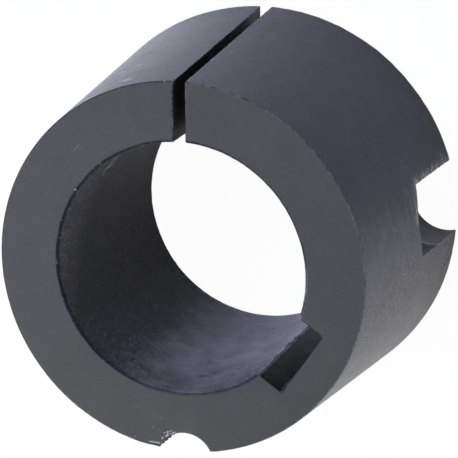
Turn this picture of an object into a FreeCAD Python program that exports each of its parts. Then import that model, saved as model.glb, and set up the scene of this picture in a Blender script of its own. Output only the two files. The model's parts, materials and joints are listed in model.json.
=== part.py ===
import FreeCAD, Part
import math
import os

# Split taper bush, in millimetres.
# The bore's axis is Z. The large end lies on Z = 0 and the small end faces up.
# Angles go from +X towards +Y, as seen from above the small end.

# Turned body
bush_length = 38.1
large_end_diameter = 57.15
taper_half_angle = 4.0
rim_break = 0.3

# Bore
bore_diameter = 35.0
bore_chamfer = 0.45

# Saw slit, through the wall from end to end
slit_width = 1.65
slit_angle = 90.0
slit_lip_break = 0.2

# Keyway, cut into the bore from end to end
keyway_width = 10.0
keyway_depth = 3.3
keyway_corner_radius = 0.4
keyway_lip_break = 0.35
keyway_angle = -34.5

# The holes along the taper lie half in the bush and half in its hub.
# Their centres are this far inside the large end's rim.
hole_centre_inset = 1.3
hole_mouth_break = 0.2

# Plain blind pockets, which take the points of the set screws.
# The web at the drill's point leaves a small flat at the bottom.
pocket_diameter = 10.3
pocket_depth = 14.7
drill_point_angle = 140.0
drill_web_width = 1.0
pocket_angle = 6.0
pocket_count = 2

# Jacking hole, drilled through at its tapping size
jacking_hole_diameter = 8.0
jacking_hole_angle = -89.0

# How far a cutter runs past the metal that it clears
overshoot = 1.0

UP = FreeCAD.Vector(0, 0, 1)
ORIGIN = FreeCAD.Vector(0, 0, 0)

bore_radius = bore_diameter / 2
large_end_radius = large_end_diameter / 2
hole_circle_radius = large_end_radius - hole_centre_inset


def taper_radius(height):
    """Radius of the tapered outside at a height above the large end."""
    return large_end_radius - height * math.tan(math.radians(taper_half_angle))


def face_from(points):
    """Flat face inside a closed outline of straight edges."""
    corners = [FreeCAD.Vector(*point) for point in points]
    return Part.Face(Part.makePolygon(corners + corners[:1]))


def turned(outline):
    """Solid of revolution about Z from an outline of (radius, height) points."""
    return face_from([(radius, 0, height) for radius, height in outline]).revolve(ORIGIN, UP, 360)


def swung(shape, angle):
    """The shape turned about the bore's axis, from +X to the angle."""
    shape.rotate(ORIGIN, UP, angle)
    return shape


def turned_body():
    """Tapered ring with its bore, both rims broken and both bore ends chamfered."""
    top = bush_length
    return turned([
        (bore_radius + bore_chamfer, 0),
        (taper_radius(0) - rim_break, 0),
        (taper_radius(rim_break), rim_break),
        (taper_radius(top - rim_break), top - rim_break),
        (taper_radius(top) - rim_break, top),
        (bore_radius + bore_chamfer, top),
        (bore_radius, top - bore_chamfer),
        (bore_radius, bore_chamfer),
    ])


def slit():
    """Saw cut with its lips broken on both ends, along the taper and along the bore."""
    half = slit_width / 2
    lip = half + slit_lip_break
    inner = bore_radius / 2
    outer = large_end_radius + overshoot
    ends = [
        (-lip, 0),
        (lip, 0),
        (half, slit_lip_break),
        (half, bush_length - slit_lip_break),
        (lip, bush_length),
        (-lip, bush_length),
        (-half, bush_length - slit_lip_break),
        (-half, slit_lip_break),
    ]
    cutter = face_from([(inner, y, z) for y, z in ends]).extrude(FreeCAD.Vector(outer - inner, 0, 0))
    outside = [
        (taper_radius(0) - slit_lip_break, half, 0),
        (taper_radius(0), lip, 0),
        (taper_radius(0), -lip, 0),
        (taper_radius(0) - slit_lip_break, -half, 0),
    ]
    along_taper = FreeCAD.Vector(taper_radius(bush_length) - taper_radius(0), 0, bush_length)
    bore_lip = [
        (inner, lip, 0),
        (math.sqrt(bore_radius ** 2 - lip ** 2), lip, 0),
        (bore_radius + slit_lip_break, half, 0),
        (bore_radius + slit_lip_break, -half, 0),
        (math.sqrt(bore_radius ** 2 - lip ** 2), -lip, 0),
        (inner, -lip, 0),
    ]
    lips = [face_from(outside).extrude(along_taper), face_from(bore_lip).extrude(UP * bush_length)]
    return swung(cutter.fuse(lips), slit_angle)


def keyway():
    """Parallel keyway with rounded bottom corners and broken lips at the bore."""
    half = keyway_width / 2
    lip = half + keyway_lip_break
    bottom = bore_radius + keyway_depth
    wall_top = math.sqrt(bore_radius ** 2 - half ** 2)
    outline = [
        (bore_radius / 2, -lip, 0),
        (math.sqrt(bore_radius ** 2 - lip ** 2), -lip, 0),
        (wall_top + keyway_lip_break, -half, 0),
        (bottom, -half, 0),
        (bottom, half, 0),
        (wall_top + keyway_lip_break, half, 0),
        (math.sqrt(bore_radius ** 2 - lip ** 2), lip, 0),
        (bore_radius / 2, lip, 0),
    ]
    prism = face_from(outline).extrude(UP * bush_length)
    corners = [
        edge for edge in prism.Edges
        if all(abs(vertex.X - bottom) < 1e-6 for vertex in edge.Vertexes)
        and abs(edge.tangentAt(edge.FirstParameter).z) > 0.5
    ]
    return swung(prism.makeFillet(keyway_corner_radius, corners), keyway_angle)


def pocket(angle):
    """Blind drilled pocket, open at the large end, with the cone and flat that the drill leaves."""
    radius = pocket_diameter / 2
    web = drill_web_width / 2
    point_height = (radius - web) / math.tan(math.radians(drill_point_angle / 2))
    drill = turned([
        (0, -overshoot),
        (radius + hole_mouth_break + overshoot, -overshoot),
        (radius, hole_mouth_break),
        (radius, pocket_depth),
        (web, pocket_depth + point_height),
        (0, pocket_depth + point_height),
    ])
    drill.translate(FreeCAD.Vector(hole_circle_radius, 0, 0))
    return swung(drill, angle)


def jacking_hole():
    """Through hole at the tapping size, with both mouths broken."""
    radius = jacking_hole_diameter / 2
    wide = radius + hole_mouth_break + overshoot
    drill = turned([
        (0, -overshoot),
        (wide, -overshoot),
        (radius, hole_mouth_break),
        (radius, bush_length - hole_mouth_break),
        (wide, bush_length + overshoot),
        (0, bush_length + overshoot),
    ])
    drill.translate(FreeCAD.Vector(hole_circle_radius, 0, 0))
    return swung(drill, jacking_hole_angle)


def taper_bush():
    """The whole bush, which is one piece of metal."""
    cuts = [slit(), keyway(), jacking_hole()]
    cuts += [pocket(pocket_angle + index * 360 / pocket_count) for index in range(pocket_count)]
    return turned_body().cut(cuts)


os.makedirs("parts", exist_ok=True)
taper_bush().exportStep("parts/taper_bush.step")
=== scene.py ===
import json
import math

import bpy
import numpy as np
from mathutils import Matrix, Vector


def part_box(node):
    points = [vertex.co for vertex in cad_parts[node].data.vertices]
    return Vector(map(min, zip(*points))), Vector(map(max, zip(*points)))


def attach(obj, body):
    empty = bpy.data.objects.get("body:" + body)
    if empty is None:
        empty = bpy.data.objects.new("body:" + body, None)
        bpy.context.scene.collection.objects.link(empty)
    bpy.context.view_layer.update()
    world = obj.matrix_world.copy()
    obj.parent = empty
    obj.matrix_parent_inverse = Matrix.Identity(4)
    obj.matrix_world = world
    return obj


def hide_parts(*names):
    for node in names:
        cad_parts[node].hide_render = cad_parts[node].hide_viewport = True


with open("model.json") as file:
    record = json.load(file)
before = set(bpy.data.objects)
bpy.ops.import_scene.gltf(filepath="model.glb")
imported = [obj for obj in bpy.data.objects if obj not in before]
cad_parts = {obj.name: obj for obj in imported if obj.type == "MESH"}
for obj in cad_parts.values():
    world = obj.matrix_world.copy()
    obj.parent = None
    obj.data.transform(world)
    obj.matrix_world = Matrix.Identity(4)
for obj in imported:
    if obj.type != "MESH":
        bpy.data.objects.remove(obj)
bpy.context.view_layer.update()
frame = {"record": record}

# The bush's axis is Z, its large end lies on Z = 0 and its slit points to +Y. Lengths are in metres.
MM = 0.001
NODE = "taper_bush"
mounts = {mount["name"]: mount for mount in frame["record"]["mounts"]}


def bearing(name):
    """Angle round the bore's axis at which a mount lies, from +X towards +Y."""
    x, y, _ = mounts[name]["pos_m"]
    return math.atan2(y, x)


# Sizes read from the frame
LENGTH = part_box(NODE)[1].z
BORE_RADIUS = mounts["bore"]["dims"]["r_mm"] * MM
HOLE_CIRCLE = math.hypot(*mounts["jacking_hole"]["pos_m"][:2])
KEYWAY_BOTTOM = math.hypot(*mounts["keyway"]["pos_m"][:2])
KEYWAY_ANGLE = bearing("keyway")
POCKET_ANGLES = [bearing("set_screw_pocket_right"), bearing("set_screw_pocket_left")]
JACKING_ANGLE = bearing("jacking_hole")
SLIT_ANGLE = math.radians(90)

# Sizes of the turned body
LARGE_END_RADIUS = 28.575 * MM
TAPER_SLOPE = math.tan(math.radians(4.0))
RIM_BREAK = 0.3 * MM
SMALL_RIM_BREAK = 0.16 * MM
BORE_CHAMFER = 0.45 * MM

# Sizes of the cuts
SLIT_HALF = 0.825 * MM
SLIT_LIP = 0.2 * MM
KEYWAY_HALF = 5.0 * MM
KEYWAY_CORNER = 0.4 * MM
KEYWAY_WALL_TOP = math.sqrt(BORE_RADIUS ** 2 - KEYWAY_HALF ** 2)
KEYWAY_LIP = 0.35 * MM
KEYWAY_UPPER_LIP = 0.75 * MM
POCKET_RADIUS = 5.15 * MM
POCKET_DEPTH = 14.7 * MM
POCKET_LEDGE = 8.2 * MM
LEDGE_HEIGHT = 0.07 * MM
LEDGE_WIDTH = 0.16 * MM
POINT_SLOPE = math.tan(math.radians(70))
WEB_RADIUS = 0.5 * MM
MOUTH_BREAK = 0.2 * MM
JACKING_RADIUS = 4.0 * MM
THREAD_MAJOR_RADIUS = 4.7625 * MM
THREAD_PITCH = 25.4 / 16 * MM
THREAD_FLAT = 0.125
THREAD_FLANK = 0.3125
THREAD_FADE = 0.5 * MM
JACKING_LIP = 0.1 * MM
OVERSHOOT = 1.0 * MM

# How uneven the edges and walls are: shares of a break's width, the torn lips of the pockets, and how far the
# saw and the drill wander
RIM_UNEVEN = 0.16
CHAMFER_UNEVEN = 0.06
SLIT_LIP_UNEVEN = 0.22
POCKET_LIP = 0.09 * MM
POCKET_LIP_TORN = 0.16 * MM
SAW_WANDER = 0.012 * MM
FEED_RING = 0.012 * MM

# Marks of handling, in degrees and millimetres. The small end's rim is hammered over a short stretch. A burr
# has its start and span round the jacking hole, its distance from the mouth and its thickness. A nick has its
# radius, angle, height and size.
PEENED_WIDTH = 0.35 * MM
PEENED_ANGLE = 261.6
PEENED_SPREAD = 2.4
BURRS = [
    ("burr_rim", 196.0, 34.0, 0.1, 0.15),
    ("burr_flake", 201.0, 18.0, 0.48, 0.1),
]
NICKS = [
    (28.65, 45.2, 0.0, 0.34),
    (28.65, 46.3, 0.0, 0.36),
    (28.45, 108.0, 0.1, 0.22),
    (21.0, -44.2, 38.1, 0.22),
    (17.89, 146.6, 38.1, 0.2),
    (25.8, 94.5, 38.0, 0.2),
    (25.85, 20.0, 38.0, 0.12),
    (25.9, 236.0, 38.0, 0.16),
    (28.5, 221.0, 0.05, 0.3),
    (28.5, 301.0, 0.05, 0.2),
]
NICK_FLATNESS = 0.7

# Marks in the finish, in degrees and millimetres. A scratch on the small end's face has its two ends, its
# width and its strength, and a chip there its radius, angle and size. A mark on the taper or in the bore has
# its angle, height, half width and half height.
FACE_SCRATCHES = [((-14.26, 16.16), (-15.14, 15.26), 0.09, 0.25),
                  ((-4.55, -24.95), (-2.95, -25.05), 0.16, 0.9)]
FACE_CHIPS = [(21.56, -97.4, 0.12), (23.19, -100.2, 0.14), (25.32, -105.4, 0.12)]
# Smudges on the taper: pale marks that are also a painted sheen.
TAPER_SMUDGES_AND_SHEEN = [(109.5, 34.4, 1.5, 0.6), (119.0, 33.8, 1.6, 0.4), (112.0, 26.0, 0.8, 0.5),
                 (61.5, 22.4, 0.8, 0.12)]
TAPER_CHIPS = [(25.0, 16.0, 2.2, 2.6), (40.0, 27.5, 0.9, 1.0), (30.0, 3.2, 0.8, 1.8)]
# Painted light: how much paler the taper is made towards the large end.
TAPER_PAINTED_LIGHT = 0.1
# The dusted side has pale dust grains, and its tone is also raised there as painted light.
DUSTED_AND_LIT_SIDE = math.radians(-24)
# Painted shade: the small end's rim is darkened on the side at this angle.
PAINTED_SHADE_RIM_SIDE = math.radians(150)
BORE_BLOTS = [(-88.4, 30.2, 1.6, 0.8), (-70.2, 11.2, 0.35, 0.35), (-79.2, 7.6, 0.8, 0.6),
              (-116.3, 10.1, 0.8, 0.5), (-88.9, 12.0, 0.9, 0.6), (-106.0, 28.0, 0.3, 0.35)]
BORE_SCRAPE = (141.5, 27.8, 2.8, 2.4)
BORE_DOTS = (155.0, 24.0, 8.0, 12.0)
# Painted light and reflection: the bore is made pale on the side at this angle.
PAINTED_LIGHT_BORE_SIDE = math.radians(282)
BRIGHT_CHAMFER = math.radians(-12)

# Colours of the finish where it isn't the coat's own. The near-black one is soot and also painted shade, and
# the bare one is wear and also painted highlights and sheen.
SOOT_AND_SHADE = (0.008, 0.008, 0.009, 1)
SPECK = (0.24, 0.24, 0.25, 1)
WORN_AND_HIGHLIGHT = (0.42, 0.42, 0.43, 1)

# Floor, lamps and camera. The camera's place and axes are in the bush's frame.
FLOOR_HALF = 1.5
FLOOR_HEIGHT = -0.02 * MM
SEEN_WHITE = 0.97
MIRRORED_WHITE = 0.2
COOL_WHITE = (0.84, 0.89, 1.12)
NEUTRAL_WHITE = (1.0, 1.0, 0.98)
WARM_WHITE = (1.0, 0.98, 0.95)
LENS, SENSOR = 255.072, 36
EYE = (0.138421, 0.122883, 0.433345)
EYE_RIGHT = (0.94917808, -0.00335123, -0.3147217)
EYE_UP = (-0.08180892, 0.96294692, -0.25698351)


# Numbers for surfaces

def wander(angle, seed, lowest=3, highest=120):
    """Closed, uneven line round the axis: a sum of cosines with seeded phases, which fall off as their count
    grows."""
    random = np.random.default_rng(seed)
    count = np.arange(lowest, highest)
    phase = random.uniform(0, 2 * np.pi, count.size)
    waves = np.cos(np.multiply.outer(angle, count) + phase) / np.sqrt(count)
    return waves.sum(-1) / np.sqrt((0.5 / count).sum())


def unevenness(along, seed, lowest=0.4, highest=6.0, terms=24):
    """Uneven line along a length in mm: a sum of cosines with seeded wave counts and phases."""
    random = np.random.default_rng(seed)
    count = random.uniform(lowest, highest, terms)
    phase = random.uniform(0, 2 * np.pi, terms)
    return np.cos(np.multiply.outer(along / MM, count) + phase).sum(-1) / math.sqrt(terms / 2)


def rounding(depth, width):
    """Sideways reach of a rounded lip at a depth: a quarter circle that is as deep as it is wide."""
    inside = np.clip(depth / width, 0, 1)
    return width * (1 - np.sqrt(1 - (1 - inside) ** 2))


def outer_radius(z):
    """Radius of the taper at a height."""
    return LARGE_END_RADIUS - z * TAPER_SLOPE


def lip_steps(width):
    """Depths at which a rounded lip of that width has points, from its surface inwards."""
    return width * np.array([0, 0.06, 0.22, 0.5, 1.0])


def end_heights(width, middle):
    """Heights of a cutter's rows: past both ends, close together at both lips, and the middle ones."""
    steps = lip_steps(width)
    return np.concatenate([[-OVERSHOOT], steps, middle, LENGTH - steps[::-1], [LENGTH + OVERSHOOT]])


def turned_by(points, angle):
    """Points turned about the bore's axis."""
    cosine, sine = math.cos(angle), math.sin(angle)
    x, y = points[..., 0], points[..., 1]
    return np.stack([x * cosine - y * sine, x * sine + y * cosine, points[..., 2]], -1)


# Meshes

def ring_quads(rows, columns, closed):
    """Four-sided faces of a grid of points whose rows close on themselves, and whose last row may meet the
    first."""
    row = np.arange(rows if closed else rows - 1)[:, None]
    column = np.arange(columns)[None, :]
    after_row = (row + 1) % rows
    after_column = (column + 1) % columns
    corners = [row * columns + column, row * columns + after_column,
               after_row * columns + after_column, after_row * columns + column]
    return np.stack([np.broadcast_to(c, (row.size, columns)) for c in corners], -1).reshape(-1, 4)


def mesh_object(name, points, faces, materials, face_materials=None):
    """Object at the origin from points and faces, with one material or one for each face."""
    mesh = bpy.data.meshes.new(name)
    mesh.from_pydata(points.reshape(-1, 3).tolist(), [], [list(face) for face in faces])
    for material in materials:
        mesh.materials.append(material)
    if face_materials is not None:
        mesh.polygons.foreach_set("material_index", np.asarray(face_materials, np.int32))
    mesh.validate()
    mesh.update()
    piece = bpy.data.objects.new(name, mesh)
    bpy.context.scene.collection.objects.link(piece)
    return piece


def lofted(name, sections, material):
    """Closed cutter from anticlockwise outlines stacked along Z: an array of rows by points by 3."""
    rows, columns = sections.shape[:2]
    faces = ring_quads(rows, columns, closed=False).tolist()
    faces.append(list(range(columns))[::-1])
    faces.append([(rows - 1) * columns + column for column in range(columns)])
    return mesh_object(name, sections, faces, [material])


# Turned blank

def soft_corner(before, corner, after, steps):
    """Broken corner: a curve from one side to the other whose middle is pulled half way to the corner."""
    t = np.linspace(0, 1, steps)[:, None, None]
    pull = 0.5 * corner + 0.25 * (before + after)
    return (1 - t) ** 2 * before + 2 * t * (1 - t) * pull + t ** 2 * after


def turned_blank(materials, segments=720, steps=6):
    """Tapered ring as a profile of radius and height carried round the axis. The profile has four broken
    corners, a bore end and a rim at each end face. The breaks grow and shrink a little on the way round."""
    angle = np.linspace(0, 2 * np.pi, segments, endpoint=False)

    def at(radius, height):
        """A point of the profile at every angle."""
        return np.stack([np.broadcast_to(radius, segments), np.broadcast_to(height, segments)], -1)

    def break_width(width, seed, uneven):
        """Width of a break at every angle."""
        return width * (1 + uneven * np.clip(wander(angle, seed), -2, 2))

    corners = []
    for end, inward, rim_break, seed in ((0.0, 1, RIM_BREAK, 11), (LENGTH, -1, SMALL_RIM_BREAK, 12)):
        rim = break_width(rim_break, seed, RIM_UNEVEN)
        if end > 0:
            rim = rim + PEENED_WIDTH * np.exp(-((np.degrees(angle) - PEENED_ANGLE) / PEENED_SPREAD) ** 2)
        chamfer = break_width(BORE_CHAMFER, seed + 10, CHAMFER_UNEVEN)
        corners.append([
            (at(BORE_RADIUS, end + inward * chamfer), at(BORE_RADIUS, end), at(BORE_RADIUS + chamfer, end)),
            (at(outer_radius(end) - rim, end), at(outer_radius(end), end),
             at(outer_radius(end + inward * rim), end + inward * rim)),
        ])
    (low_bore, low_rim), (high_bore, high_rim) = corners
    profile = np.concatenate([soft_corner(*low_bore, steps), soft_corner(*low_rim, steps),
                              soft_corner(*high_rim[::-1], steps), soft_corner(*high_bore[::-1], steps)])
    radius, height = profile[..., 0], profile[..., 1]
    points = np.stack([radius * np.cos(angle), radius * np.sin(angle), height], -1)
    faces = ring_quads(len(profile), segments, closed=True)
    end_face, taper, bore = 0, 1, 2
    zones = [bore] * (steps - 1) + [end_face] + [taper] * (2 * steps - 1) + [end_face] + [bore] * steps
    return mesh_object("bush", points, faces, materials, np.repeat(zones, segments))


# Cutters, each on +X and then turned to its place

def slit_cutter(material):
    """Saw cut as outlines stacked along Z. The half width at a point is the slit's own plus the rounding of
    the nearest lip, which may be at an end, the bore or the taper, and it wanders a little."""
    z = end_heights(SLIT_LIP, np.linspace(1 * MM, LENGTH - 1 * MM, 48))
    inner, outer = BORE_RADIUS, outer_radius(z)[:, None]
    lip = SLIT_LIP * (1 + SLIT_LIP_UNEVEN * np.clip(unevenness(z, 5), -1.5, 1.5))[:, None]
    steps = lip_steps(1.0)[None, :] * lip
    x = np.concatenate([0 * lip + inner / 2, inner + steps, outer - steps[:, ::-1],
                        0 * lip + LARGE_END_RADIUS + OVERSHOOT], 1)
    sideways = rounding(np.minimum(x - inner, outer - x), lip)
    ends = rounding(np.minimum(z, LENGTH - z), SLIT_LIP)[:, None]
    walls = [SLIT_HALF + np.maximum(sideways, ends) + SAW_WANDER * unevenness(z, seed)[:, None]
             for seed in (31, 32)]
    outline = np.concatenate([np.stack([x, -walls[0]], -1), np.stack([x, walls[1]], -1)[:, ::-1]], 1)
    height = np.broadcast_to(z[:, None, None], outline.shape[:2] + (1,))
    return lofted("slit", turned_by(np.concatenate([outline, height], -1), SLIT_ANGLE), material)


def keyway_cutter(material):
    """Keyway as two half outlines, stacked along Z and grown a little at both ends. Each half outline runs
    from the bore over a rounded lip, which is wider on the upper side, and down the wall to the arc in the
    bottom corner."""
    z = end_heights(MOUTH_BREAK, np.linspace(1 * MM, LENGTH - 1 * MM, 24))
    turn = np.linspace(0, math.pi / 2, 6)
    corner_x = KEYWAY_BOTTOM - KEYWAY_CORNER + KEYWAY_CORNER * np.sin(turn)
    corner_y = KEYWAY_HALF - KEYWAY_CORNER + KEYWAY_CORNER * np.cos(turn)
    halves = []
    for side, width in ((-1, KEYWAY_LIP), (1, KEYWAY_UPPER_LIP)):
        lip = KEYWAY_HALF + rounding(lip_steps(width), width)
        x = np.concatenate([[BORE_RADIUS / 2, KEYWAY_WALL_TOP - width], KEYWAY_WALL_TOP + lip_steps(width),
                            corner_x, [KEYWAY_BOTTOM]])
        y = side * np.concatenate([[lip[0], lip[0]], lip, corner_y, [KEYWAY_HALF / 2]])
        halves.append(np.stack([x, y], -1))
    outline = np.concatenate([halves[0], halves[1][::-1]])
    centre = np.array([KEYWAY_BOTTOM - KEYWAY_HALF, 0])
    grown = rounding(np.minimum(z, LENGTH - z), MOUTH_BREAK)
    away = np.sign(outline - centre) * (np.abs(outline - centre) > KEYWAY_HALF * 0.8)
    away[..., 0] = np.maximum(away[..., 0], 0)
    sections = outline[None] + grown[:, None, None] * away[None]
    height = np.broadcast_to(z[:, None, None], sections.shape[:2] + (1,))
    return lofted("keyway", turned_by(np.concatenate([sections, height], -1), KEYWAY_ANGLE), material)


def hole_cutter(name, z, radius_at, lip, angle, material, columns=56):
    """Part of a round hole that the taper lays open, as outlines stacked along Z. At each height the wall
    runs round the hole's axis from one lip to the other, where its circle meets the taper's, and the outline
    then closes outside the metal. radius_at gives the wall's radius from the angle round the hole and the
    height."""
    near_lip = 0.03
    steps = lip_steps(near_lip)[:-1]
    share = np.concatenate([steps, np.linspace(near_lip, 1 - near_lip, columns), 1 - steps[::-1]])
    height = np.broadcast_to(z[:, None], (z.size, share.size))
    taper = outer_radius(height)
    around = math.pi * (0.5 + share)[None, :] + 0 * height
    for _ in range(4):
        radius = radius_at(around, height)
        meeting = (taper ** 2 - HOLE_CIRCLE ** 2 - radius ** 2) / (2 * HOLE_CIRCLE * radius)
        start = np.arccos(np.clip(meeting, -0.999, 0.999))
        around = start + share[None, :] * (2 * math.pi - 2 * start)
    radius = radius_at(around, height)
    x = HOLE_CIRCLE + radius * np.cos(around)
    y = radius * np.sin(around)
    wide = radius + rounding(taper - np.hypot(x, y), lip)
    x = HOLE_CIRCLE + wide * np.cos(around)
    y = wide * np.sin(around)
    far = np.full((z.size, 1), LARGE_END_RADIUS + 8 * OVERSHOOT)
    outline = np.stack([np.concatenate([x, far, far], 1), np.concatenate([y, y[:, -1:], y[:, :1]], 1)], -1)
    heights = np.broadcast_to(z[:, None, None], outline.shape[:2] + (1,))
    return lofted(name, turned_by(np.concatenate([outline, heights], -1), angle), material)


def pocket_cutter(name, angle, seed, material):
    """Blind pocket: the drill's wall with fine feed rings and a low ridge where the clean part ends, then the
    point's cone down to the web's flat. Its lips at the taper are unevenly torn."""
    deepest = POCKET_DEPTH + (POCKET_RADIUS - WEB_RADIUS) / POINT_SLOPE
    wall = np.linspace(MOUTH_BREAK * 1.5, POCKET_DEPTH, 90)
    point = np.linspace(POCKET_DEPTH, deepest, 14)[1:]
    z = np.concatenate([[-OVERSHOOT], lip_steps(MOUTH_BREAK), wall, point])

    def radius_at(around, height):
        """Straight wall, then a cone, with the mouth's rounding, the ridge and the rings added."""
        cone = POCKET_RADIUS - np.maximum(height - POCKET_DEPTH, 0) * POINT_SLOPE
        mouth = rounding(np.maximum(height, 0), MOUTH_BREAK)
        ridge = -LEDGE_HEIGHT * np.exp(-((height - POCKET_LEDGE) / LEDGE_WIDTH) ** 2)
        rings = FEED_RING * unevenness(height, seed, 3, 9) * (height < POCKET_DEPTH)
        return cone + mouth + ridge + rings

    torn = np.clip(unevenness(z, seed + 50, 2, 9), 0, 1.5)[:, None]
    return hole_cutter(name, z, radius_at, POCKET_LIP + POCKET_LIP_TORN * torn, angle, material)


def jacking_cutter(material):
    """Tapped half hole: the wall's radius follows a right-handed thread, flat at its crest and root with
    straight flanks between, as a function of the height in pitches less the share of a turn. The thread fades
    in inside each mouth."""
    middle = np.arange(0.3 * MM, LENGTH - 0.3 * MM, THREAD_PITCH / 14)
    z = end_heights(MOUTH_BREAK, middle)

    def radius_at(around, height):
        """Tapping radius plus the thread's depth, plus the rounding of the nearer mouth."""
        end = np.minimum(height, LENGTH - height)
        phase = (height / THREAD_PITCH - around / (2 * math.pi)) % 1.0
        flank = np.clip((np.abs(phase - 0.5) - THREAD_FLAT) / THREAD_FLANK, 0, 1)
        fade = np.clip((end - MOUTH_BREAK) / THREAD_FADE, 0, 1)
        thread = (THREAD_MAJOR_RADIUS - JACKING_RADIUS) * (1 - flank) * fade
        return JACKING_RADIUS + rounding(np.maximum(end, 0), MOUTH_BREAK) + thread

    return hole_cutter("jacking_hole", z, radius_at, JACKING_LIP, JACKING_ANGLE, material, columns=44)


def nick_cutter(number, radius, angle, height, size, material):
    """Nick in an edge: a lump whose distance from its middle, by latitude and longitude, is its size times
    waves that its number shifts, flattened along Z."""
    latitude = np.linspace(-np.pi / 2, np.pi / 2, 9)[1:-1, None]
    longitude = np.linspace(0, 2 * np.pi, 16, endpoint=False)[None, :]
    reach = size * MM * (1 + 0.25 * np.sin(3 * longitude + number) * np.cos(latitude)
                         + 0.15 * np.cos(2 * latitude + 5 * longitude))
    turn = math.radians(angle)
    centre = np.array([radius * math.cos(turn), radius * math.sin(turn), height]) * MM
    points = np.stack([reach * np.cos(latitude) * np.cos(longitude),
                       reach * np.cos(latitude) * np.sin(longitude),
                       NICK_FLATNESS * reach * np.sin(latitude)], -1) + centre
    rows, columns = points.shape[:2]
    poles = centre + np.array([[0, 0, -1], [0, 0, 1]]) * (NICK_FLATNESS * size * MM)
    faces = ring_quads(rows, columns, closed=False).tolist()
    low, high = rows * columns, rows * columns + 1
    around = np.arange(columns)
    after = (around + 1) % columns
    faces += np.stack([after, around, np.full(columns, low)], -1).tolist()
    top = (rows - 1) * columns
    faces += np.stack([top + around, top + after, np.full(columns, high)], -1).tolist()
    return mesh_object(f"nick_{number}", np.concatenate([points.reshape(-1, 3), poles]), faces, [material])


def mouth_burr(name, start, span, offset, thick, material):
    """Torn burr on the jacking hole's mouth: a small oval section, sunk past its middle, carried along an arc
    beside the mouth's rim. Its width and height swell and shrink in seeded waves and run out at both ends."""
    along = np.linspace(0, 1, 60)[:, None]
    around = np.linspace(0, 2 * np.pi, 10, endpoint=False)[None, :]
    turn = np.radians(start + span * along)
    waves = along * 3 * MM
    fade = np.sin(np.pi * along) ** 0.5
    swell = fade * np.clip(0.55 + 0.45 * unevenness(waves, 71, 2, 14), 0.12, 1.4)
    middle = JACKING_RADIUS + MOUTH_BREAK + (offset + 0.06 * unevenness(waves, 72, 1, 5)) * MM
    thinnest, sunk, flatness = 0.02, 0.03, 0.8
    out = middle + (thinnest + thick * swell) * MM * np.cos(around)
    height = LENGTH - sunk * MM + (thinnest + flatness * thick * swell) * MM * np.sin(around)
    points = np.stack([HOLE_CIRCLE + out * np.cos(turn), out * np.sin(turn), height], -1)
    rows, columns = points.shape[:2]
    faces = ring_quads(rows, columns, closed=False)[:, ::-1].tolist()
    faces.append(list(range(columns)))
    faces.append([(rows - 1) * columns + column for column in range(columns)][::-1])
    return mesh_object(name, turned_by(points, JACKING_ANGLE), faces, [material])


# Shading

class Value:
    """A socket of a material's tree. Expressions on values add Math nodes."""

    def __init__(self, tree, socket):
        self.tree = tree
        self.socket = socket

    def math(self, operation, *others):
        """One Math node on this value and the others."""
        node = self.tree.nodes.new("ShaderNodeMath")
        node.operation = operation
        for place, value in zip(node.inputs, (self,) + others):
            if isinstance(value, Value):
                self.tree.links.new(value.socket, place)
            else:
                place.default_value = value
        return Value(self.tree, node.outputs[0])

    def swapped(self, operation, other):
        """One Math node with the other value, a number, in front."""
        node = self.tree.nodes.new("ShaderNodeMath")
        node.operation = operation
        node.inputs[0].default_value = other
        self.tree.links.new(self.socket, node.inputs[1])
        return Value(self.tree, node.outputs[0])

    def __add__(self, other):
        return self.math("ADD", other)

    def __sub__(self, other):
        return self.math("SUBTRACT", other)

    def __mul__(self, other):
        return self.math("MULTIPLY", other)

    def __truediv__(self, other):
        return self.math("DIVIDE", other)

    def __rsub__(self, other):
        return self.swapped("SUBTRACT", other)

    def __rtruediv__(self, other):
        return self.swapped("DIVIDE", other)

    __radd__ = __add__
    __rmul__ = __mul__

    def size(self):
        """The value without its sign."""
        return self.math("ABSOLUTE")

    def least(self, other):
        """The smaller of two values."""
        return self.math("MINIMUM", other)

    def most(self, other):
        """The larger of two values."""
        return self.math("MAXIMUM", other)

    def root(self):
        """Square root."""
        return self.math("SQRT")

    def above(self, other):
        """1 where the value is over the other, or else 0."""
        return self.math("GREATER_THAN", other)

    def held(self):
        """The value kept between 0 and 1."""
        return self.most(0.0).least(1.0)

    def near(self, width):
        """1 where the value is at or under 0, falling smoothly to 0 at the width."""
        share = (self / width).held()
        return 1.0 - share * share * (3.0 - 2.0 * share)

    def over(self, low, high):
        """0 under the low bound, rising smoothly to 1 at the high bound."""
        return 1.0 - (self - low).near(high - low)


class Tree:
    """One material's node tree."""

    def __init__(self, name):
        self.material = bpy.data.materials.new(name)
        self.material.use_nodes = True
        self.tree = self.material.node_tree
        self.tree.nodes.clear()

    def node(self, kind, settings=None, sockets=None):
        """Any node: its type, its settings, which are set first, then the values or links of its sockets."""
        node = self.tree.nodes.new(kind)
        for name, value in (settings or {}).items():
            setattr(node, name, value)
        for name, value in (sockets or {}).items():
            if isinstance(value, Value):
                value = value.socket
            if isinstance(value, bpy.types.NodeSocket):
                self.tree.links.new(value, node.inputs[name])
            else:
                node.inputs[name].default_value = value
        return node


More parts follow.
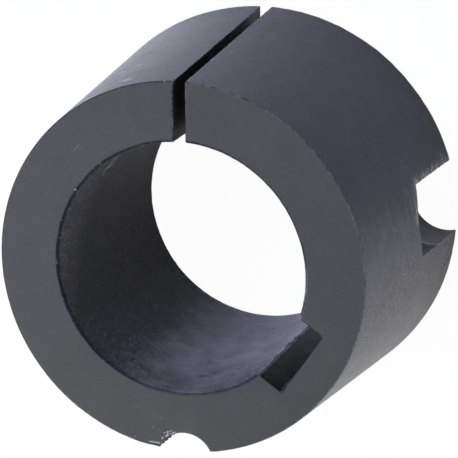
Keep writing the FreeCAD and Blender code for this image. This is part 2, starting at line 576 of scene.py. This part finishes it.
class Finish(Tree):
    """A material of the bush, with its own coordinates in millimetres and the masks of its edges."""

    def __init__(self, name):
        super().__init__(name)
        place = self.node("ShaderNodeTexCoord").outputs["Object"]
        scaled = self.node("ShaderNodeVectorMath", {"operation": "SCALE"}, {0: place, "Scale": 1 / MM})
        self.place = scaled.outputs[0]
        parts = self.node("ShaderNodeSeparateXYZ", {}, {0: self.place}).outputs
        self.x, self.y, self.z = (Value(self.tree, parts[axis]) for axis in range(3))
        self.radius = (self.x * self.x + self.y * self.y).root()

    def noise(self, scale, detail=3.0, rough=0.55, stretch=None, along=None):
        """Noise from 0 to 1, in waves to the millimetre. stretch scales each axis, and along makes the noise
        follow one value."""
        settings = {"noise_dimensions": "3D"}
        sockets = {"Scale": scale, "Detail": detail, "Roughness": rough}
        if along is not None:
            settings = {"noise_dimensions": "1D"}
            sockets["W"] = along
        elif stretch is not None:
            multiply = {"operation": "MULTIPLY"}
            stretched = self.node("ShaderNodeVectorMath", multiply, {0: self.place, 1: stretch})
            sockets["Vector"] = stretched.outputs[0]
        else:
            sockets["Vector"] = self.place
        return Value(self.tree, self.node("ShaderNodeTexNoise", settings, sockets).outputs[0])

    def specks(self, scale, size, share):
        """1 in round specks: cells of the scale, of which about that share hold one of the size."""
        cells = self.node("ShaderNodeTexVoronoi", {}, {"Vector": self.place, "Scale": scale})
        chosen = self.node("ShaderNodeSeparateColor", {}, {0: cells.outputs["Color"]})
        near = (Value(self.tree, cells.outputs["Distance"]) - size * 0.7).near(size * 0.3)
        return near * Value(self.tree, chosen.outputs[0]).above(1.0 - share)

    def mix(self, factor, low, high):
        """Colour between two colours."""
        node = self.node("ShaderNodeMix", {"data_type": "RGBA"}, {0: factor, 6: low, 7: high})
        return node.outputs[2]

    def turned_to(self, angle):
        """The two plan coordinates on a line from the axis at an angle: along it and across it."""
        cosine, sine = math.cos(angle), math.sin(angle)
        return self.x * cosine + self.y * sine, self.y * cosine - self.x * sine

    def ends(self):
        """Distance from the nearer end face."""
        return self.z.least(LENGTH / MM - self.z)

    def outer_gap(self):
        """Distance inside the taper."""
        return LARGE_END_RADIUS / MM - self.z * TAPER_SLOPE - self.radius

    def hole_gap(self, angle, radius, deep=None):
        """Distance from the wall of a hole along the taper, and past its depth from the drill's cone."""
        along, across = self.turned_to(angle)
        along = along - HOLE_CIRCLE / MM
        gap = (along * along + across * across).root() - radius / MM
        if deep is None:
            return gap
        return gap.most((self.z - deep / MM) * 0.9 + gap * 0.36)

    def stroke(self, start, finish, width):
        """1 on a straight scratch between two plan points, falling to 0 a width away from it."""
        length = math.dist(start, finish)
        along_x, along_y = (finish[0] - start[0]) / length, (finish[1] - start[1]) / length
        x, y = self.x - start[0], self.y - start[1]
        past_middle = (x * along_x + y * along_y - length / 2).size() - length / 2
        return (y * along_x - x * along_y).size().near(width) * past_middle.near(width)

    def blot(self, angle, height, half_width, half_height, radius=BORE_RADIUS / MM):
        """1 in the middle of an oval spot on a wall round the axis, falling to 0 at its half width and half
        height."""
        along, sideways = self.turned_to(math.radians(angle))
        sideways, up = sideways / half_width, (self.z - height) / half_height
        return (sideways * sideways + up * up).root().near(1.0) * along.above(radius / 2)

    def spot(self, radius, angle, size):
        """1 in a round spot on an end face, 0 at its size."""
        along, across = self.turned_to(math.radians(angle))
        along = along - radius
        return (along * along + across * across).root().near(size)

    def edge_wear(self, width):
        """1 on the rims, the bore's ends and the lips of the slit, the keyway and the holes, and 0 a width
        away."""
        outer = self.outer_gap().size()
        inner = (self.radius - BORE_RADIUS / MM).size()
        ends = self.ends()
        skin = outer.least(inner).least(ends).near(width)
        rims = outer.near(width) * ends.near(width)
        rims = rims.most(inner.near(width) * ends.near(width))
        key_along, key_across = self.turned_to(KEYWAY_ANGLE)
        key = (key_across.size() - KEYWAY_HALF / MM).most(key_along - KEYWAY_BOTTOM / MM)
        key = key.size().near(width) * key_along.above(0.0) * (key_along - KEYWAY_WALL_TOP / MM).near(0.5)
        slit = (self.x.size() - SLIT_HALF / MM).size().near(width) * self.y.above(0.0)
        holes = self.hole_gap(JACKING_ANGLE, JACKING_RADIUS).size().near(width)
        for angle in POCKET_ANGLES:
            holes = holes.most(self.hole_gap(angle, POCKET_RADIUS, POCKET_DEPTH).size().near(width))
        return rims.most(skin * key.most(slit).most(holes))

    def finish(self, colour, roughness, bump, metal, depth, specular):
        """Ends the tree in one Principled shader, with a bump of that depth in millimetres."""
        bumped = self.node("ShaderNodeBump", {}, {"Height": bump, "Distance": depth * MM, "Strength": 1.0})
        shader = self.node("ShaderNodeBsdfPrincipled", {}, {
            "Base Color": colour, "Roughness": roughness, "Metallic": metal, "Normal": bumped.outputs[0],
            "Specular IOR Level": specular})
        self.node("ShaderNodeOutputMaterial", {}, {0: shader.outputs[0]})
        return self.material


def phosphated(name, marks, dark, pale, mottle=0.5, line=0.5, roughness=0.27, specular=0.15, wear=0.6,
               mark_scale=5.0, grain_scale=5.5, bump=0.03, metal=0.7, bare=WORN_AND_HIGHLIGHT, extra=None):
    """Dark phosphate on machined iron: a fine crystal grain, cloudy mottling, the tool's lines, pale specks,
    and thin wear on the edges, which shows the bare colour and is metal by a share. marks gives the value
    that the tool's lines follow. extra changes the tone, the wear and the soot, which is the coat where it is
    nearly black. In some materials extra also paints light into the tone, highlights and sheen into the wear,
    and shade into the soot."""
    finish = Finish(name)
    cloud = finish.noise(0.22, 4.0, 0.6)
    grain = finish.noise(grain_scale, 4.0, 0.7)
    lines = finish.noise(mark_scale, 4.0, 0.75, along=marks(finish))
    patch = finish.noise(0.9, 3.0, 0.5)
    tone = 0.5 + (cloud - 0.5) * mottle * 1.6 + (patch - 0.5) * mottle * 0.8
    tone = tone + (grain - 0.5) * 0.45 + (lines - 0.5) * line
    specks = finish.specks(1.1, 0.12, 0.3) * grain
    wear_and_highlight = finish.edge_wear(0.22) * finish.noise(1.6, 3.0, 0.7).over(0.36, 0.62) * wear
    soot_and_shade = grain.over(0.62, 0.8) * 0.25
    if extra is not None:
        tone, wear_and_highlight, soot_and_shade = extra(finish, tone, wear_and_highlight, soot_and_shade, grain)
    colour = finish.mix(tone.held(), dark, pale)
    colour = finish.mix(soot_and_shade.held(), colour, SOOT_AND_SHADE)
    colour = finish.mix(specks * 0.4, colour, SPECK)
    colour = finish.mix(wear_and_highlight.held(), colour, bare)
    rough = (roughness + (grain - 0.5) * 0.2 + (cloud - 0.5) * 0.12 - wear_and_highlight * 0.1).held()
    height = grain * 0.35 + lines * 0.5 * line + patch * 0.4 - specks * 0.1 - soot_and_shade * 0.2
    return finish.finish(colour, rough, height, (wear_and_highlight * metal).held(), depth=bump, specular=specular)


def face_marks(finish, tone, wear_and_highlight, soot_and_shade, grain):
    """Scratches and pale chips on the small end's face, and faint pale arcs that the facing tool left."""
    arcs = finish.noise(1.3, 2.0, 0.5, along=finish.radius).over(0.55, 0.75)
    arcs = arcs * finish.noise(0.12, 2.0).over(0.5, 0.62)
    small_end = finish.z.above(1.0)
    for start, end, width, strength in FACE_SCRATCHES:
        wear_and_highlight = wear_and_highlight.most(finish.stroke(start, end, width) * strength * small_end)
    for spot in FACE_CHIPS:
        wear_and_highlight = wear_and_highlight.most(finish.spot(*spot) * 0.7 * small_end)
    return tone + arcs * 0.3, wear_and_highlight, soot_and_shade


def taper_marks(finish, tone, wear_and_highlight, soot_and_shade, grain):
    """The taper is made a little paler towards the large end as painted light. Streaks run round it, one side
    is dusted with pale grains and its tone is raised there as painted light, it has chips, and smudges that
    are also a painted sheen, and short strokes lie beside the upper lip of the right pocket, where the drill
    tore the coat. On one side the small end's rim is darkened as painted shade."""
    streaks = finish.noise(0.9, 4.0, 0.65, stretch=(0.22, 0.22, 1.3))
    # Painted light: the tone rises towards the large end.
    tone = tone + (1.0 - finish.z / (LENGTH / MM)) * TAPER_PAINTED_LIGHT + (streaks - 0.5) * 0.3
    along, _ = finish.turned_to(DUSTED_AND_LIT_SIDE)
    dusted_and_lit = (along / finish.radius + (streaks - 0.5) * 0.5).over(0.7, 0.95)
    speckle = finish.noise(3.4, 3.0, 0.8).over(0.44, 0.64)
    # Dust and painted light: the dusted side's tone is raised as well as speckled.
    tone = tone + dusted_and_lit * ((speckle - 0.3) * 2.2 + (grain - 0.5) * 1.6 + 0.8)
    dust = dusted_and_lit * (speckle * 0.2 + 0.03).most(finish.specks(2.6, 0.3, 0.5) * 0.28)
    chips = finish.specks(0.8, 0.1, 0.4).most(finish.specks(1.7, 0.15, 0.2))
    chips = chips * finish.noise(0.25, 3.0, 0.6).over(0.46, 0.6)
    for cluster in TAPER_CHIPS:
        crowded = finish.blot(*cluster, LARGE_END_RADIUS / MM).over(0.1, 0.4)
        chips = chips.most(crowded * finish.specks(2.3, 0.32, 0.55))
    beside = finish.hole_gap(POCKET_ANGLES[0], POCKET_RADIUS, POCKET_DEPTH)
    _, across = finish.turned_to(POCKET_ANGLES[0])
    rows = finish.noise(2.7, 2.0, 0.6, along=finish.z)
    length = finish.noise(2.3, 1.0, 0.5, along=finish.z + 40.0) * 2.9 - 0.75
    torn = (beside - length).near(0.2) * across.above(0.0)
    wear_and_highlight = wear_and_highlight.most(torn * rows.over(0.51, 0.57)).most(chips * 0.7)
    soot_and_shade = soot_and_shade.most(torn * rows.near(0.46).over(0.0, 0.3) * 0.8)
    # Smudges, which are also a painted sheen.
    for smudge_and_sheen in TAPER_SMUDGES_AND_SHEEN:
        uneven = finish.noise(2.6, 4.0, 0.7).over(0.3, 0.5)
        wear_and_highlight = wear_and_highlight.most(finish.blot(*smudge_and_sheen, LARGE_END_RADIUS / MM) * uneven * 0.8)
    # Painted shade: the small end's rim is darkened on one side.
    left, _ = finish.turned_to(PAINTED_SHADE_RIM_SIDE)
    rim = finish.z.over(LENGTH / MM - 0.2, LENGTH / MM - 0.13) * (left / finish.radius).over(0.2, 0.6)
    return tone, wear_and_highlight.most(dust) * (1.0 - rim * 0.8), soot_and_shade.most(rim * 0.7)


def bore_marks(finish, tone, wear_and_highlight, soot_and_shade, grain):
    """The bore is dark and crusted on one side. On the other, beside the keyway, it is made pale, and paler
    towards the large end, as painted light and a painted reflection, and it is cloudy and spotted with soot.
    Near the small end it is scraped in thin bare lines along the bore, and its chamfer is dark but for a
    stretch beside the keyway."""
    streaks = finish.noise(0.6, 4.0, 0.62, stretch=(0.6, 0.6, 1.0))
    along, _ = finish.turned_to(PAINTED_LIGHT_BORE_SIDE)
    # Painted light: the side at this angle is made pale.
    pale = (along / finish.radius + (streaks - 0.5) * 0.25).over(0.62, 0.95)
    low = 1.0 - finish.z / (LENGTH / MM)
    crust = finish.noise(2.0, 4.0, 0.8) - 0.5
    # Painted reflection: the pale side grows paler towards the large end.
    tone = 0.08 + (tone - 0.5) * (0.25 + pale * 0.5) + pale * (0.22 + low * 0.62)
    tone = tone + (streaks - 0.5) * (0.2 + pale * 0.6) + crust * (2.4 - pale * 2.0)
    wear_and_highlight = wear_and_highlight.most(finish.specks(1.8, 0.32, 0.5) * (1.0 - pale) * crust.over(-0.1, 0.1) * 0.3)
    chamfer = (finish.radius - BORE_RADIUS / MM).over(0.02, 0.1) * finish.z.above(1.0)
    bright_side, _ = finish.turned_to(BRIGHT_CHAMFER)
    chamfer = chamfer * (1.0 - (bright_side / finish.radius).over(0.9, 0.98))
    tone = tone * (1.0 - chamfer * 0.8)
    for blot in BORE_BLOTS:
        soot_and_shade = soot_and_shade.most(finish.blot(*blot) * 0.75)
    _, across = finish.turned_to(math.radians(BORE_SCRAPE[0]))
    lines = finish.noise(2.4, 2.0, 0.7, along=across).over(0.5, 0.56)
    scraped = finish.blot(*BORE_SCRAPE).over(0.1, 0.4) * lines
    dots = finish.blot(*BORE_DOTS) * finish.specks(1.6, 0.3, 0.6)
    return tone, wear_and_highlight.most(scraped) * (1.0 - chamfer * 0.6), soot_and_shade.most(dots * 0.8).most(chamfer * 0.45)


def keyway_marks(finish, tone, wear_and_highlight, soot_and_shade, grain):
    """The keyway's broken lips show as two thin bare lines, brightened also as a painted highlight, with the
    dark coat between them.
    """
    depth = finish.turned_to(KEYWAY_ANGLE)[0] - KEYWAY_WALL_TOP / MM
    broken = finish.noise(0.6, 3.0, 0.6).over(0.35, 0.5)
    # Worn lips, which are also a painted highlight.
    lines = (depth + 0.04).size().near(0.12).most((depth - 0.34).size().near(0.08) * 0.6)
    return tone, lines * broken, soot_and_shade


def pocket_marks(finish, tone, wear_and_highlight, soot_and_shade, grain):
    """The pocket is clean and ringed as far as its ledge, and its pale colour there is also painted light.
    The ledge is bare and also a painted highlight. Past it the pocket is darkened as painted shade, with
    coarse torn marks."""
    # Painted shade: the pocket darkens past its ledge.
    deep = finish.z.over(POCKET_LEDGE / MM, POCKET_LEDGE / MM + 0.35)
    torn = finish.noise(1.6, 4.0, 0.8)
    # Bare ledge, which is also a painted highlight.
    ledge = (finish.z - POCKET_LEDGE / MM + 0.05).size().near(0.4) * finish.noise(1.2, 2.0).over(0.2, 0.4)
    tone = tone * (1.0 - deep * 0.75) + (torn - 0.5) * deep * 0.8
    return tone, wear_and_highlight.most(ledge), soot_and_shade.most(deep * torn.over(0.35, 0.6) * 0.85)


faced_end = phosphated(
    "faced_end", lambda f: f.radius, (0.0425, 0.0427, 0.0418, 1), (0.0625, 0.0627, 0.0612, 1),
    mottle=0.22, line=0.3, extra=face_marks)
turned_taper = phosphated(
    "turned_taper", lambda f: f.z, (0.013, 0.0135, 0.019, 1), (0.04, 0.0405, 0.052, 1),
    mottle=0.35, line=0.4, specular=0.1, wear=0.45, grain_scale=3.8, metal=0.2, extra=taper_marks)
# The bore's pale colour is painted light and a painted reflection on one side.
bored_wall = phosphated(
    "bored_wall", lambda f: f.z, (0.024, 0.0255, 0.034, 1), (0.3, 0.298, 0.345, 1),
    mottle=0.6, wear=0.2, grain_scale=2.6, bump=0.12, metal=0.9, bare=(0.85, 0.85, 0.87, 1), extra=bore_marks)
sawn_slit = phosphated(
    "sawn_slit", lambda f: f.y + f.z * 0.1, (0.008, 0.008, 0.01, 1), (0.022, 0.022, 0.026, 1))
broached_keyway = phosphated(
    "broached_keyway", lambda f: f.turned_to(KEYWAY_ANGLE)[1], (0.008, 0.008, 0.009, 1),
    (0.022, 0.022, 0.026, 1), metal=0.9, bare=(0.8, 0.8, 0.82, 1), extra=keyway_marks)
# The pocket's pale colours are clean drilled metal and also painted light.
drilled_pocket = phosphated(
    "drilled_pocket", lambda f: f.z, (0.125, 0.124, 0.15, 1), (0.34, 0.335, 0.405, 1),
    line=2.0, mark_scale=1.3, metal=0.0, bare=(0.8, 0.8, 0.84, 1), extra=pocket_marks)
tapped_thread = phosphated("tapped_thread", lambda f: f.z, (0.012, 0.012, 0.014, 1), (0.04, 0.04, 0.045, 1))
bare_metal = phosphated("bare_metal", lambda f: f.z, (0.25, 0.25, 0.26, 1), (0.5, 0.5, 0.52, 1), line=0.2)
bruised_metal = phosphated(
    "bruised_metal", lambda f: f.z, (0.12, 0.12, 0.13, 1), (0.34, 0.34, 0.36, 1), line=0.2)


# The bush

def made_plain(piece):
    """Turns a piece with its modifiers into a plain mesh."""
    result = bpy.data.meshes.new_from_object(piece.evaluated_get(bpy.context.evaluated_depsgraph_get()))
    piece.modifiers.clear()
    piece.data = result


def cut_from(blank, cutters, added):
    """Joins the added pieces to the blank and takes the cutters away from it, each with its own material, and
    leaves a plain mesh."""
    for piece in added + cutters:
        modifier = blank.modifiers.new(piece.name, "BOOLEAN")
        modifier.operation = "UNION" if piece in added else "DIFFERENCE"
        modifier.solver = "EXACT"
        modifier.object = piece
        modifier.material_mode = "TRANSFER"
    made_plain(blank)
    for piece in added + cutters:
        bpy.data.objects.remove(piece)


def flat_shaded(piece):
    """Keeps flat and straight faces evenly shaded: each corner's normal is weighted by its faces' areas."""
    modifier = piece.modifiers.new("weighted_normals", "WEIGHTED_NORMAL")
    modifier.mode = "FACE_AREA"
    modifier.weight = 50
    modifier.keep_sharp = True
    made_plain(piece)


bush = turned_blank([faced_end, turned_taper, bored_wall])
cutters = [slit_cutter(sawn_slit), keyway_cutter(broached_keyway), jacking_cutter(tapped_thread)]
cutters += [pocket_cutter(f"pocket_{seed}", angle, seed, drilled_pocket)
            for seed, angle in enumerate(POCKET_ANGLES)]
cutters += [nick_cutter(number, *nick, bruised_metal) for number, nick in enumerate(NICKS)]
cut_from(bush, cutters, [mouth_burr(*burr, bare_metal) for burr in BURRS])
bush.data.shade_smooth()
bush.data.set_sharp_from_angle(angle=math.radians(32))
flat_shaded(bush)
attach(bush, "root")
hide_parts(NODE)


# Floor, light and camera

def floor_material():
    """White matt floor. The camera sees it as plain white with a trace of its shading left, and mirror-like
    rays see it with more of its shading."""
    floor_tree = Tree("floor_white")
    path = floor_tree.node("ShaderNodeLightPath").outputs
    seen, glossy, passed = (Value(floor_tree.tree, path[ray])
                            for ray in ("Is Camera Ray", "Is Glossy Ray", "Is Transmission Ray"))
    white = (seen * SEEN_WHITE).most(glossy.most(passed) * MIRRORED_WHITE)
    matt = floor_tree.node("ShaderNodeBsdfDiffuse", {}, {"Color": (0.8, 0.8, 0.8, 1)})
    glow = floor_tree.node("ShaderNodeEmission", {}, {"Strength": 1.0})
    mixed = floor_tree.node("ShaderNodeMixShader", {}, {0: white, 1: matt.outputs[0], 2: glow.outputs[0]})
    floor_tree.node("ShaderNodeOutputMaterial", {}, {0: mixed.outputs[0]})
    return floor_tree.material


def floor():
    """Square floor under the bush, a hair below its large end."""
    corners = [(-1, -1), (1, -1), (1, 1), (-1, 1)]
    points = np.array([[x * FLOOR_HALF, y * FLOOR_HALF, FLOOR_HEIGHT] for x, y in corners])
    mesh_object("floor", points, [[0, 1, 2, 3]], [floor_material()])


def softbox(name, azimuth, elevation, distance, size, power, colour, mirrored=True):
    """Square area light that looks at the bush's middle from an azimuth and elevation in degrees. A lamp that
    isn't mirrored only fills, and leaves no glare."""
    lamp = bpy.data.lights.new(name, "AREA")
    lamp.size = size
    lamp.energy = power
    lamp.color = colour
    light = bpy.data.objects.new(name, lamp)
    light.visible_glossy = mirrored
    bpy.context.scene.collection.objects.link(light)
    a, e = math.radians(azimuth), math.radians(elevation)
    towards = Vector((math.cos(e) * math.cos(a), math.cos(e) * math.sin(a), math.sin(e)))
    light.location = Vector((0, 0, LENGTH / 2)) + towards * distance
    light.rotation_euler = towards.to_track_quat("Z", "Y").to_euler()


def dark_surroundings():
    """World that gives no light of its own, so only the lamps and the floor light the bush."""
    world = bpy.data.worlds.new("studio")
    world.use_nodes = True
    world.node_tree.nodes["Background"].inputs["Strength"].default_value = 0.0
    bpy.context.scene.world = world


def camera():
    """Camera at the photograph's viewpoint."""
    data = bpy.data.cameras.new("camera")
    data.sensor_width = SENSOR
    data.lens = LENS
    eye = bpy.data.objects.new("camera", data)
    bpy.context.scene.collection.objects.link(eye)
    right, up = Vector(EYE_RIGHT), Vector(EYE_UP)
    turn = Matrix((right, up, right.cross(up))).transposed().to_4x4()
    eye.matrix_world = Matrix.Translation(EYE) @ turn
    bpy.context.scene.camera = eye


floor()
softbox("key", 124, 50, distance=0.42, size=0.28, power=1.95, colour=COOL_WHITE)
softbox("left", 180, 50, distance=0.9, size=0.45, power=2.6, colour=COOL_WHITE)
softbox("back", 225, 42, distance=0.9, size=0.45, power=4.6, colour=NEUTRAL_WHITE)
softbox("side", 305, 12, distance=0.9, size=0.45, power=7.5, colour=WARM_WHITE, mirrored=False)
dark_surroundings()
camera()
bpy.context.scene.view_settings.view_transform = "Standard"
